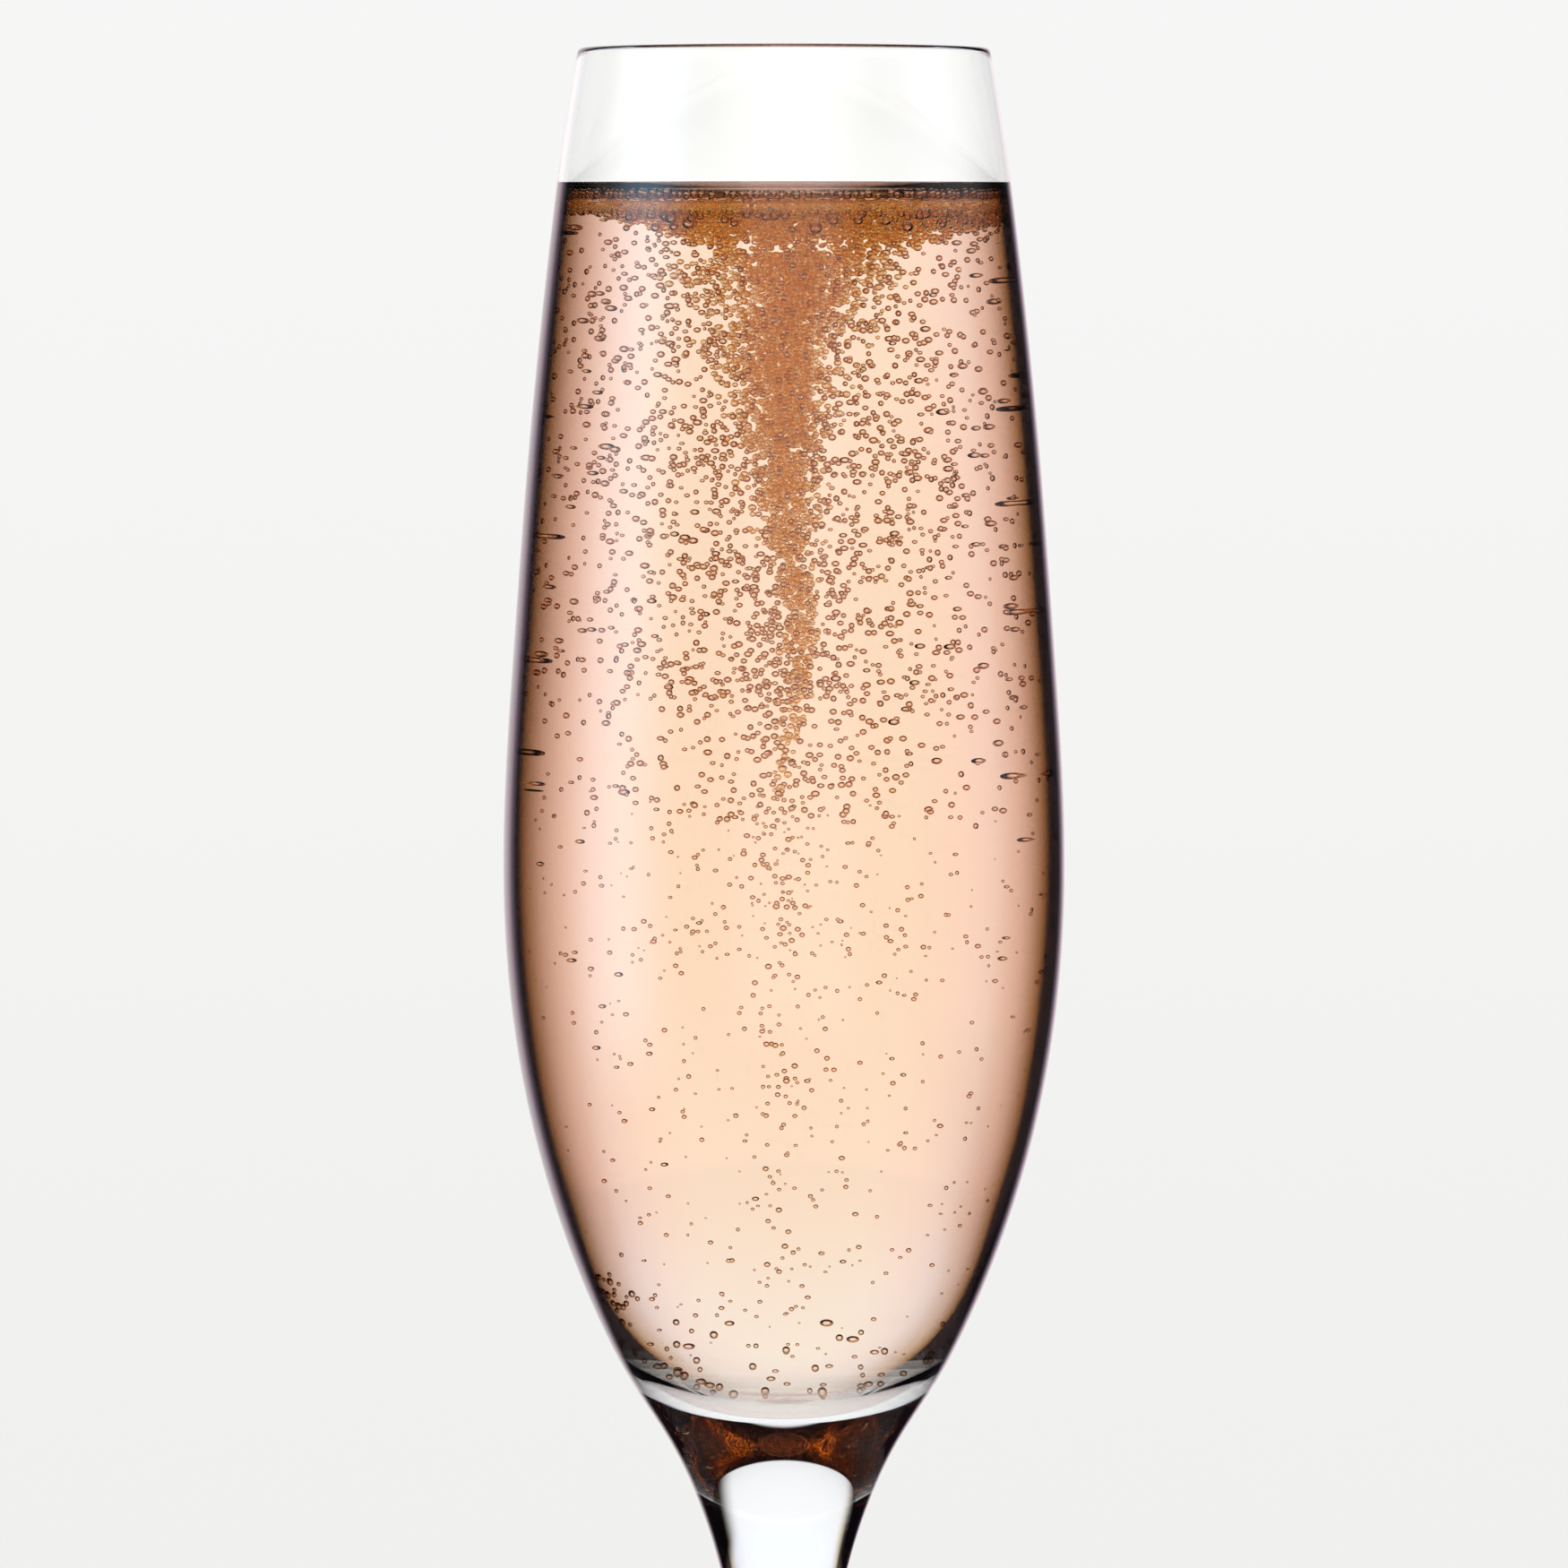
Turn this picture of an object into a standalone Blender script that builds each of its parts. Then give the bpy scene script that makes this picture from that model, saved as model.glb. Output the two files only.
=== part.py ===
"""A tall stemmed flute filled with sparkling wine.

Two solids, both turned about the Z axis: the glass (bowl, stem and foot in one piece)
and the wine it holds, up to its level and the curl of liquid at the wall.
Lengths are in metres. Z is up and the foot stands on Z = 0.
"""
import math

import bpy
import bmesh
import numpy as np

# Driving sizes of the glass
HEIGHT = 0.2275
RIM_RADIUS = 0.0213
WIDEST_RADIUS = 0.0290
WIDEST_HEIGHT = 0.1390
STEM_RADIUS = 0.0037
FOOT_RADIUS = 0.0330
BOWL_FLOOR_HEIGHT = 0.0890

# Thickness of the glass
RIM_THICKNESS = 0.0010
RIM_ROUND_HEIGHT = 0.0006
FOOT_EDGE_THICKNESS = 0.0022
RESTING_RING_INNER_RADIUS = 0.0250
UNDERSIDE_HOLLOW = 0.0012

# The wine: its level, and how high and how far in it curls up at the wall
WINE_LEVEL = 0.2110
MENISCUS_RISE = 0.0025
MENISCUS_REACH = 0.0018
WINE_GAP = 0.0003

# Fineness of the solids
TURN_STEPS = 64
RIM_STEPS = 4
FOOT_EDGE_STEPS = 4
MENISCUS_STEPS = (3.0, 1.4, 0.7, 0.3, 0.0)
MERGE_DISTANCE = 0.00001

# Stations of the outer side, (radius, height), from under the rim to the edge of the foot.
# The bowl opens to its widest, closes on a round shoulder and runs out into the stem.
OUTER_STATIONS = (
    (RIM_RADIUS, HEIGHT - RIM_ROUND_HEIGHT),
    (0.0227, 0.2185),
    (0.0242, 0.2070),
    (0.0262, 0.1880),
    (0.0280, 0.1650),
    (WIDEST_RADIUS, WIDEST_HEIGHT),
    (0.0271, 0.1210),
    (0.0235, 0.1070),
    (0.0192, 0.0960),
    (0.0157, 0.0893),
    (0.0126, 0.0845),
    (0.0106, 0.0809),
    (0.0086, 0.0762),
    (0.0069, 0.0709),
    (0.0054, 0.0640),
    (0.0043, 0.0550),
    (STEM_RADIUS, 0.0430),
    (STEM_RADIUS, 0.0300),
    (0.0045, 0.0180),
    (0.0072, 0.0110),
    (0.0130, 0.0066),
    (0.0210, 0.0042),
    (FOOT_RADIUS - 0.5 * FOOT_EDGE_THICKNESS, FOOT_EDGE_THICKNESS),
)
# How many straight steps each stretch between two outer stations takes
OUTER_STEPS = (1, 1, 1, 1, 2, 3, 2, 2, 1, 1, 1, 1, 1, 1, 1, 1, 1, 2, 2, 2, 1, 1)

# Stations of the bowl's inner side, from the middle of its floor up to the rim
INNER_STATIONS = (
    (0.0, BOWL_FLOOR_HEIGHT),
    (0.0064, 0.0901),
    (0.0119, 0.0932),
    (0.0166, 0.0984),
    (0.0203, 0.1050),
    (0.0233, 0.1125),
    (0.0259, 0.1230),
    (0.0277, WIDEST_HEIGHT),
    (0.0268, 0.1650),
    (0.0250, 0.1880),
    (0.0231, 0.2070),
    (0.0217, 0.2185),
    (RIM_RADIUS - RIM_THICKNESS, HEIGHT - RIM_ROUND_HEIGHT),
)
INNER_STEPS = (2, 2, 2, 1, 1, 1, 2, 2, 1, 1, 1, 1)


def smooth_run(stations, steps):
    """Points of a smooth curve through the stations (a Catmull-Rom spline)."""
    knots = [np.array(station, dtype=float) for station in stations]
    knots = [2 * knots[0] - knots[1]] + knots + [2 * knots[-1] - knots[-2]]
    points = [knots[1]]
    for index, count in enumerate(steps):
        before, start, end, after = knots[index:index + 4]
        for step in range(1, count + 1):
            t = step / count
            points.append(0.5 * (2 * start
                                 + (end - before) * t
                                 + (2 * before - 5 * start + 4 * end - after) * t ** 2
                                 + (3 * start - before - 3 * end + after) * t ** 3))
    return points


def arc(centre, radii, start_degrees, end_degrees, steps):
    """Points inside an elliptical arc, without its two ends."""
    points = []
    for step in range(1, steps):
        angle = math.radians(start_degrees + (end_degrees - start_degrees) * step / steps)
        points.append(np.array((centre[0] + radii[0] * math.cos(angle),
                                centre[1] + radii[1] * math.sin(angle))))
    return points


def glass_profile():
    """The glass from the bowl's floor, up inside, over the rim and down to the foot's underside."""
    inner = smooth_run(INNER_STATIONS, INNER_STEPS)
    outer = smooth_run(OUTER_STATIONS, OUTER_STEPS)

    half_rim = 0.5 * RIM_THICKNESS
    rim_centre = (RIM_RADIUS - half_rim, HEIGHT - RIM_ROUND_HEIGHT)
    rim = arc(rim_centre, (half_rim, RIM_ROUND_HEIGHT), 180, 0, RIM_STEPS)

    edge_radius = 0.5 * FOOT_EDGE_THICKNESS
    edge_centre = (FOOT_RADIUS - edge_radius, edge_radius)
    edge = arc(edge_centre, (edge_radius, edge_radius), 90, -90, FOOT_EDGE_STEPS)

    # The foot rests on a flat ring and is slightly hollow inside it.
    underside = [np.array((edge_centre[0], 0.0)),
                 np.array((RESTING_RING_INNER_RADIUS, 0.0)),
                 np.array((0.5 * RESTING_RING_INNER_RADIUS, 0.75 * UNDERSIDE_HOLLOW)),
                 np.array((0.0, UNDERSIDE_HOLLOW))]
    return inner + rim + outer + edge + underside


def offset_inward(points, distance):
    """The bowl's inner curve moved off the glass by an even distance."""
    moved = []
    for index, point in enumerate(points):
        before = points[max(index - 1, 0)]
        after = points[min(index + 1, len(points) - 1)]
        along = (after - before) / np.linalg.norm(after - before)
        moved.append(point + distance * np.array((-along[1], along[0])))
    moved[0] = np.array((0.0, points[0][1] + distance))
    return moved


def wine_profile():
    """The wine from the middle of its surface, out and up the wall, then down to its lowest point."""
    wall = offset_inward(smooth_run(INNER_STATIONS, INNER_STEPS), WINE_GAP)
    heights = [point[1] for point in wall]
    radii = [point[0] for point in wall]
    lip_radius = float(np.interp(WINE_LEVEL + MENISCUS_RISE, heights, radii))

    surface = [np.array((0.0, WINE_LEVEL))]
    for reaches in MENISCUS_STEPS:
        surface.append(np.array((lip_radius - reaches * MENISCUS_REACH,
                                 WINE_LEVEL + MENISCUS_RISE * math.exp(-reaches))))

    side = [point for point in reversed(wall) if point[1] < WINE_LEVEL]
    return surface + side


def finish(name, base_color, roughness, ior):
    material = bpy.data.materials.new(name)
    material.use_nodes = True
    shader = material.node_tree.nodes["Principled BSDF"]
    shader.inputs["Base Color"].default_value = base_color
    shader.inputs["Metallic"].default_value = 0.0
    shader.inputs["Roughness"].default_value = roughness
    shader.inputs["IOR"].default_value = ior
    shader.inputs["Transmission Weight"].default_value = 1.0
    material.diffuse_color = base_color
    return material


def turned(name, profile, material, collection):
    """A solid of revolution: the profile at +X, turned about Z by a Screw modifier."""
    mesh = bpy.data.meshes.new(name)
    shape = bmesh.new()
    corners = [shape.verts.new((radius, 0.0, height)) for radius, height in profile]
    for first, second in zip(corners, corners[1:]):
        shape.edges.new((first, second))
    shape.to_mesh(mesh)
    shape.free()
    mesh.materials.append(material)

    piece = bpy.data.objects.new(name, mesh)
    collection.objects.link(piece)
    screw = piece.modifiers.new("Turn", "SCREW")
    screw.axis = "Z"
    screw.angle = math.tau
    screw.steps = TURN_STEPS
    screw.render_steps = TURN_STEPS
    screw.use_merge_vertices = True
    screw.merge_threshold = MERGE_DISTANCE
    screw.use_smooth_shade = True
    return piece


def main():
    for old in list(bpy.data.objects):
        bpy.data.objects.remove(old, do_unlink=True)

    collection = bpy.data.collections.new("Glass of sparkling wine")
    bpy.context.scene.collection.children.link(collection)

    clear_glass = finish("Clear glass", (0.95, 0.97, 0.96, 1.0), 0.02, 1.52)
    rose_wine = finish("Rose sparkling wine", (0.95, 0.70, 0.56, 1.0), 0.02, 1.34)

    turned("flute", glass_profile(), clear_glass, collection)
    turned("wine", wine_profile(), rose_wine, collection)


main()
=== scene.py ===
import math

import bpy
import numpy as np
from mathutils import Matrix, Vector


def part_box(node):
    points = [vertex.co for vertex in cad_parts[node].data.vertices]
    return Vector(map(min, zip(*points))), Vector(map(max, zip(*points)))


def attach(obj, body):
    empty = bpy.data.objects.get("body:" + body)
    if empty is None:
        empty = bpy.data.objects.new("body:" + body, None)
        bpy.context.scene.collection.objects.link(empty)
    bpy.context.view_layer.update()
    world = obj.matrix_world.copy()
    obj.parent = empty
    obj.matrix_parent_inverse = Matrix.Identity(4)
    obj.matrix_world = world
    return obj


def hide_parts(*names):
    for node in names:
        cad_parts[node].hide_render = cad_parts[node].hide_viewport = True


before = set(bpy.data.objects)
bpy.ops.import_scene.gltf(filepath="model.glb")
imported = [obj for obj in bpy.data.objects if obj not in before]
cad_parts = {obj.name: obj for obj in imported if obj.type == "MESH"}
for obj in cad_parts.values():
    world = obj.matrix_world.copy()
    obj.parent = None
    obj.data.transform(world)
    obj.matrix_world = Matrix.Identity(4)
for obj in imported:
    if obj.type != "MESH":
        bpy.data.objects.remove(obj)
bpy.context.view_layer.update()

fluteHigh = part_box("flute")[1]

# the glass, in metres
flute = {
    "height": fluteHigh.z,
    "footRadius": fluteHigh.x,
    "rimRadius": 0.0213,
    "rimThickness": 0.0010,
    "rimRound": 0.0006,
    "footEdge": 0.0022,
    "ringInside": 0.0250,
    "hollow": 0.0012,
    "floorHeight": 0.0890,
    "turnSteps": 192,
    "outerStep": 0.0011,    # longest step along the outer side
    "innerStep": 0.0012,
    "rimSteps": 12,
    "footEdgeSteps": 10,
    "hollowSteps": 14,
    "ior": 1.52,
    "tint": (0.42, 0.58, 0.55),    # grey-green where the glass is thick
    "tintDensity": 5.0,
}

# stations (radius, height) of the outer side, rim to foot
outerStations = (
    (flute["rimRadius"], flute["height"] - flute["rimRound"]),
    (0.0227, 0.2185),
    (0.0242, 0.2070),
    (0.0262, 0.1880),
    (0.0280, 0.1650),
    (0.0290, 0.1390),
    (0.0271, 0.1210),
    (0.0235, 0.1070),
    (0.0192, 0.0960),
    (0.0157, 0.0893),
    (0.0126, 0.0845),
    (0.0106, 0.0809),
    (0.0086, 0.0762),
    (0.0069, 0.0709),
    (0.0054, 0.0640),
    (0.0043, 0.0550),
    (0.0037, 0.0430),
    (0.0037, 0.0300),
    (0.0045, 0.0180),
    (0.0072, 0.0110),
    (0.0130, 0.0066),
    (0.0210, 0.0042),
    (flute["footRadius"] - 0.5 * flute["footEdge"], flute["footEdge"]),
)

# stations of the bowl's inner side, floor to rim
innerStations = (
    (0.0, flute["floorHeight"]),
    (0.0064, 0.0901),
    (0.0119, 0.0932),
    (0.0166, 0.0984),
    (0.0203, 0.1050),
    (0.0233, 0.1125),
    (0.0259, 0.1230),
    (0.0277, 0.1390),
    (0.0268, 0.1650),
    (0.0250, 0.1880),
    (0.0231, 0.2070),
    (0.0217, 0.2185),
    (flute["rimRadius"] - flute["rimThickness"], flute["height"] - flute["rimRound"]),
)

wine = {
    "level": 0.2110,
    "wallOverlap": 0.00006,      # how far it reaches into the wall, so no air shows between
    "capillaryLength": 0.00219,  # sets how the surface curls up at the wall
    "contactDegrees": 20.4,
    "curlSteps": 22,
    "flatSteps": 10,
    "ior": 1.344,
    "tint": (0.926, 0.452, 0.016),
    "tintDensity": 12.5,
}


# ---- small helpers ----

def smoothRun(stations, longestStep, mirrored=False):
    # a cubic spline through the stations with an even curve, cut into short steps
    knots = np.array(stations, dtype=float)
    if mirrored:
        knots = np.vstack((knots[1] * (-1.0, 1.0), knots))
    along = np.concatenate(([0.0], np.cumsum(np.linalg.norm(np.diff(knots, axis=0), axis=1))))
    count = len(knots)
    gaps = np.diff(along)
    system = np.eye(count)
    right = np.zeros((count, 2))
    for i in range(1, count - 1):
        system[i, i - 1] = gaps[i - 1]
        system[i, i] = 2.0 * (gaps[i - 1] + gaps[i])
        system[i, i + 1] = gaps[i]
        right[i] = 6.0 * ((knots[i + 1] - knots[i]) / gaps[i] - (knots[i] - knots[i - 1]) / gaps[i - 1])
    bend = np.linalg.solve(system, right)
    first = 1 if mirrored else 0
    points = [knots[first]]
    for i in range(first, count - 1):
        steps = max(2, math.ceil(gaps[i] / longestStep))
        for k in range(1, steps + 1):
            t = gaps[i] * k / steps
            rest = gaps[i] - t
            points.append(bend[i] * rest ** 3 / (6 * gaps[i]) + bend[i + 1] * t ** 3 / (6 * gaps[i])
                          + (knots[i] / gaps[i] - bend[i] * gaps[i] / 6) * rest
                          + (knots[i + 1] / gaps[i] - bend[i + 1] * gaps[i] / 6) * t)
    return points


def arcPoints(centre, radii, startDegrees, endDegrees, steps):
    points = []
    for k in range(1, steps):
        angle = math.radians(startDegrees + (endDegrees - startDegrees) * k / steps)
        points.append(np.array((centre[0] + radii[0] * math.cos(angle),
                                centre[1] + radii[1] * math.sin(angle))))
    return points


def newTree(name, inputs):
    # an empty Geometry Nodes tree with named inputs, (name, socket type, value)
    tree = bpy.data.node_groups.new(name, "GeometryNodeTree")
    tree.interface.new_socket("Geometry", in_out="INPUT", socket_type="NodeSocketGeometry")
    for label, kind, value in inputs:
        socket = tree.interface.new_socket(label, in_out="INPUT", socket_type=kind)
        if value is not None:
            socket.default_value = value
    tree.interface.new_socket("Geometry", in_out="OUTPUT", socket_type="NodeSocketGeometry")
    return tree


def bake(name, base, tree, values):
    # runs the tree on the base mesh and keeps the result as a plain mesh
    holder = bpy.data.objects.new(name + "Base", base)
    bpy.context.scene.collection.objects.link(holder)
    modifier = holder.modifiers.new("Make", "NODES")
    modifier.node_group = tree
    for item in tree.interface.items_tree:
        if item.item_type == "SOCKET" and item.in_out == "INPUT" and item.name in values:
            modifier[item.identifier] = values[item.name]
    evaluated = holder.evaluated_get(bpy.context.evaluated_depsgraph_get())
    mesh = bpy.data.meshes.new_from_object(evaluated)
    mesh.name = name
    bpy.data.objects.remove(holder, do_unlink=True)
    piece = bpy.data.objects.new(name, mesh)
    bpy.context.scene.collection.objects.link(piece)
    return piece


def lineMesh(name, points):
    mesh = bpy.data.meshes.new(name)
    mesh.from_pydata(points, [(i, i + 1) for i in range(len(points) - 1)], [])
    return mesh


# ---- turned pieces: a half profile swept round the axis ----

turningRing = 0.001    # radius of the guide circle that the profile is swept along


def turningTree():
    tree = newTree("Turned on the axis", (
        ("Turn steps", "NodeSocketInt", 64),
        ("Ring radius", "NodeSocketFloat", turningRing),
        ("Crease angle", "NodeSocketFloat", math.radians(40)),
        ("Finish", "NodeSocketMaterial", None),
    ))
    nodes, links = tree.nodes, tree.links
    given = nodes.new("NodeGroupInput")
    made = nodes.new("NodeGroupOutput")
    profile = nodes.new("GeometryNodeMeshToCurve")
    ring = nodes.new("GeometryNodeCurvePrimitiveCircle")
    sweep = nodes.new("GeometryNodeCurveToMesh")
    weld = nodes.new("GeometryNodeMergeByDistance")
    weld.inputs["Distance"].default_value = 0.000001
    smooth = nodes.new("GeometryNodeSetShadeSmooth")
    bend = nodes.new("GeometryNodeInputMeshEdgeAngle")
    isSharp = nodes.new("FunctionNodeCompare")
    crease = nodes.new("GeometryNodeSetShadeSmooth")
    crease.domain = "EDGE"
    crease.inputs["Shade Smooth"].default_value = False
    realize = nodes.new("GeometryNodeRealizeInstances")
    finish = nodes.new("GeometryNodeSetMaterial")
    links.new(given.outputs["Geometry"], profile.inputs["Mesh"])
    links.new(given.outputs["Turn steps"], ring.inputs["Resolution"])
    links.new(given.outputs["Ring radius"], ring.inputs["Radius"])
    links.new(ring.outputs["Curve"], sweep.inputs["Curve"])
    links.new(profile.outputs["Curve"], sweep.inputs["Profile Curve"])
    links.new(sweep.outputs["Mesh"], weld.inputs["Geometry"])
    links.new(weld.outputs["Geometry"], smooth.inputs["Geometry"])
    links.new(smooth.outputs["Geometry"], crease.inputs["Geometry"])
    links.new(bend.outputs["Unsigned Angle"], isSharp.inputs["A"])
    links.new(given.outputs["Crease angle"], isSharp.inputs["B"])
    links.new(isSharp.outputs["Result"], crease.inputs["Selection"])
    links.new(crease.outputs["Geometry"], realize.inputs["Geometry"])
    links.new(realize.outputs["Geometry"], finish.inputs["Geometry"])
    links.new(given.outputs["Finish"], finish.inputs["Material"])
    links.new(finish.outputs["Geometry"], made.inputs["Geometry"])
    return tree


def turned(name, profile, material, tree):
    # the sweep lays a profile's second axis along -Z, so heights go in with their sign changed
    line = lineMesh(name + "Profile", [(radius - turningRing, -height, 0.0) for radius, height in profile])
    return bake(name, line, tree, {"Turn steps": flute["turnSteps"], "Finish": material})


def fluteProfile():
    inner = smoothRun(innerStations, flute["innerStep"], mirrored=True)
    outer = smoothRun(outerStations, flute["outerStep"])
    halfRim = 0.5 * flute["rimThickness"]
    rimCentre = (flute["rimRadius"] - halfRim, flute["height"] - flute["rimRound"])
    rim = arcPoints(rimCentre, (halfRim, flute["rimRound"]), 180, 0, flute["rimSteps"])
    edge = 0.5 * flute["footEdge"]
    edgeCentre = (flute["footRadius"] - edge, edge)
    footEdge = arcPoints(edgeCentre, (edge, edge), 90, -90, flute["footEdgeSteps"])
    ring = [np.array((edgeCentre[0], 0.0)), np.array((flute["ringInside"], 0.0))]
    under = []
    for k in range(1, flute["hollowSteps"] + 1):
        radius = flute["ringInside"] * (1 - k / flute["hollowSteps"])
        rise = 0.5 * flute["hollow"] * (1 + math.cos(math.pi * radius / flute["ringInside"]))
        under.append(np.array((radius, rise)))
    return inner + rim + outer + footEdge + ring + under


def wallCurve(offset):
    # the bowl's inner side moved out by an even distance, or in if the distance is negative
    points = smoothRun(innerStations, flute["innerStep"], mirrored=True)
    moved = []
    for i, point in enumerate(points):
        before = points[max(i - 1, 0)]
        after = points[min(i + 1, len(points) - 1)]
        step = (after - before) / np.linalg.norm(after - before)
        moved.append(point + offset * np.array((step[1], -step[0])))
    moved[0] = np.array((0.0, points[0][1] - offset))
    return moved


def wallRadius(height):
    points = wallCurve(0.0)
    return float(np.interp(height, [p[1] for p in points], [p[0] for p in points]))


def curl():
    # how the surface climbs at the wall: (distance from the wall, rise), from far off to the wall
    steepest = math.radians(90 - wine["contactDegrees"])
    length = wine["capillaryLength"]

    def run(slope):
        return length * (math.log(math.tan(slope / 4)) + 2 * math.cos(slope / 2))

    gentlest = math.radians(0.15)
    points = []
    for k in range(wine["curlSteps"] + 1):
        slope = gentlest * (steepest / gentlest) ** (k / wine["curlSteps"])
        points.append((run(steepest) - run(slope), 2 * length * math.sin(slope / 2)))
    return points


def wineProfile():
    climb = curl()
    lipHeight = wine["level"] + climb[-1][1]
    lipRadius = wallRadius(lipHeight)
    flatRadius = lipRadius - climb[0][0]
    flatSteps = wine["flatSteps"]
    surface = [np.array((flatRadius * k / flatSteps, wine["level"])) for k in range(flatSteps)]
    for distance, rise in climb:
        surface.append(np.array((lipRadius - distance, wine["level"] + rise)))
    overlap = wine["wallOverlap"]
    surface.append(np.array((lipRadius + overlap, lipHeight + 2 * overlap)))
    side = [point for point in reversed(wallCurve(overlap)) if point[1] < lipHeight]
    return surface + side


# ---- node helpers ----

def colorStops(nodes, links, value, stops):
    # a colour ramp from its list of (position, colour), the first at 0 and the last at 1
    node = nodes.new("ShaderNodeValToRGB")
    elements = node.color_ramp.elements
    for i, (position, color) in enumerate(stops):
        if i == 0 or i == len(stops) - 1:
            element = elements[0 if i == 0 else -1]
        else:
            element = elements.new(position)
        element.color = (*color, 1.0)
    links.new(value, node.inputs["Fac"])
    return node.outputs["Color"]


def mathNode(nodes, links, operation, a, b=None):
    node = nodes.new("ShaderNodeMath")
    node.operation = operation
    for i, value in enumerate((a, b)):
        if value is None:
            continue
        if isinstance(value, (int, float)):
            node.inputs[i].default_value = value
        else:
            links.new(value, node.inputs[i])
    return node.outputs["Value"]


def ramp(nodes, links, value, low, high, fromOne=False):
    node = nodes.new("ShaderNodeMapRange")
    node.interpolation_type = "SMOOTHSTEP"
    node.inputs["From Min"].default_value = low
    node.inputs["From Max"].default_value = high
    node.inputs["To Min"].default_value = 1.0 if fromOne else 0.0
    node.inputs["To Max"].default_value = 0.0 if fromOne else 1.0
    links.new(value, node.inputs["Value"])
    return node.outputs["Result"]


def blendColor(nodes, links, factor, first, second):
    node = nodes.new("ShaderNodeMix")
    node.data_type = "RGBA"
    links.new(factor, node.inputs["Factor"])
    for socket, value in ((node.inputs[6], first), (node.inputs[7], second)):
        if isinstance(value, tuple):
            socket.default_value = (*value, 1.0)
        else:
            links.new(value, socket)
    return node.outputs[2]


def stopRamp(nodes, links, value, stops, span=90.0):
    # a ramp over turns of 0 to 90 degrees; the colours go in halved because some pass 1
    halved = [(turn / span, tuple(0.5 * c for c in color)) for turn, color in stops]
    double = nodes.new("ShaderNodeVectorMath")
    double.operation = "SCALE"
    double.inputs["Scale"].default_value = 2.0
    links.new(colorStops(nodes, links, value, halved), double.inputs[0])
    return double.outputs["Vector"]


# ---- finishes ----

def plainMaterial(name, viewColor):
    material = bpy.data.materials.new(name)
    material.use_nodes = True
    material.diffuse_color = viewColor
    return material, material.node_tree.nodes, material.node_tree.links


def faceMark(nodes, name):
    mark = nodes.new("ShaderNodeAttribute")
    mark.attribute_name = name
    return mark.outputs["Fac"]


def quietWhereWet(nodes, links, shader):
    # where wine and glass touch there is next to no mirror reflection, so it is taken away there
    tint = blendColor(nodes, links, faceMark(nodes, "wet"), (1.0, 1.0, 1.0), (0.0, 0.0, 0.0))
    links.new(tint, shader.inputs["Specular Tint"])


def paintShadeTowardsEdge(nodes, links, shader, stops):
    # painted shade: the base colour is darkened by the slant to the viewer, towards black at the edges, as
    # far as the piece's "edge" marks say; its "lean" marks are taken off the slant first
    edge = faceMark(nodes, "edge")
    lean = faceMark(nodes, "lean")
    weight = nodes.new("ShaderNodeLayerWeight")
    weight.inputs["Blend"].default_value = 0.5
    rest = mathNode(nodes, links, "SUBTRACT", 1.0, lean)
    beyond = mathNode(nodes, links, "SUBTRACT", weight.outputs["Facing"], lean)
    turn = mathNode(nodes, links, "DIVIDE", beyond, rest)
    shade = blendColor(nodes, links, edge, (1.0, 1.0, 1.0), colorStops(nodes, links, turn, stops))
    links.new(shade, shader.inputs["Base Color"])


def tintInside(nodes, links, look):
    tint = nodes.new("ShaderNodeVolumeAbsorption")
    tint.inputs["Color"].default_value = (*look["tint"], 1.0)
    tint.inputs["Density"].default_value = look["tintDensity"]
    links.new(tint.outputs["Volume"], nodes["Material Output"].inputs["Volume"])


def clearLook(shader, ior):
    shader.inputs["Roughness"].default_value = 0.0
    shader.inputs["IOR"].default_value = ior
    shader.inputs["Transmission Weight"].default_value = 1.0


paintedEdgeShade = {    # heights, low to high, over which the painted shade towards the edges changes
    "stemStart": (0.014, 0.030),
    "stemEnd": (0.0855, 0.0890),
    "stemTop": (0.074, 0.079),
    "stemTopLess": 0.55,              # how much of it goes there
    "wineStart": (0.0886, 0.0945),
    "wineClears": (0.0900, 0.1120),
    "wineClearsBy": 0.075,
    "uprightWall": (0.1500, 0.1700),
    "bentLean": 0.67,                 # share of a wall's lean that is left once light has bent in
    "wetReach": 0.0002,               # how near the bowl's inner side a face lies to be wet
}


def risingMark(heights, low, high):
    # 0 below, 1 above, with a soft step between
    share = np.clip((heights - low) / (high - low), 0.0, 1.0)
    return share * share * (3.0 - 2.0 * share)


def markFaces(piece, name, values):
    mark = piece.data.attributes.new(name, "FLOAT", "FACE")
    mark.data.foreach_set("value", values.astype(np.float32))


def markPaintedShadeLean(piece):
    # how far the wall leans out, as the slant at which level light meets it in the middle, and a little
    # more near the floor, where the painted edge shade clears up; the painted shade starts only past this
    # slant
    corners = piece.data.vertices
    places = np.zeros(3 * len(corners))
    normals = np.zeros(3 * len(corners))
    corners.foreach_get("co", places)
    corners.foreach_get("normal", normals)
    heights = places[2::3]
    lean = paintedEdgeShade["bentLean"] * np.arcsin(np.clip(np.abs(normals[2::3]), 0.0, 1.0))
    leaning = 1.0 - risingMark(heights, *paintedEdgeShade["uprightWall"])
    clears = 1.0 - risingMark(heights, *paintedEdgeShade["wineClears"])
    shift = (1.0 - np.cos(lean)) * leaning + paintedEdgeShade["wineClearsBy"] * clears
    mark = piece.data.attributes.new("lean", "FLOAT", "POINT")
    mark.data.foreach_set("value", shift.astype(np.float32))


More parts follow.
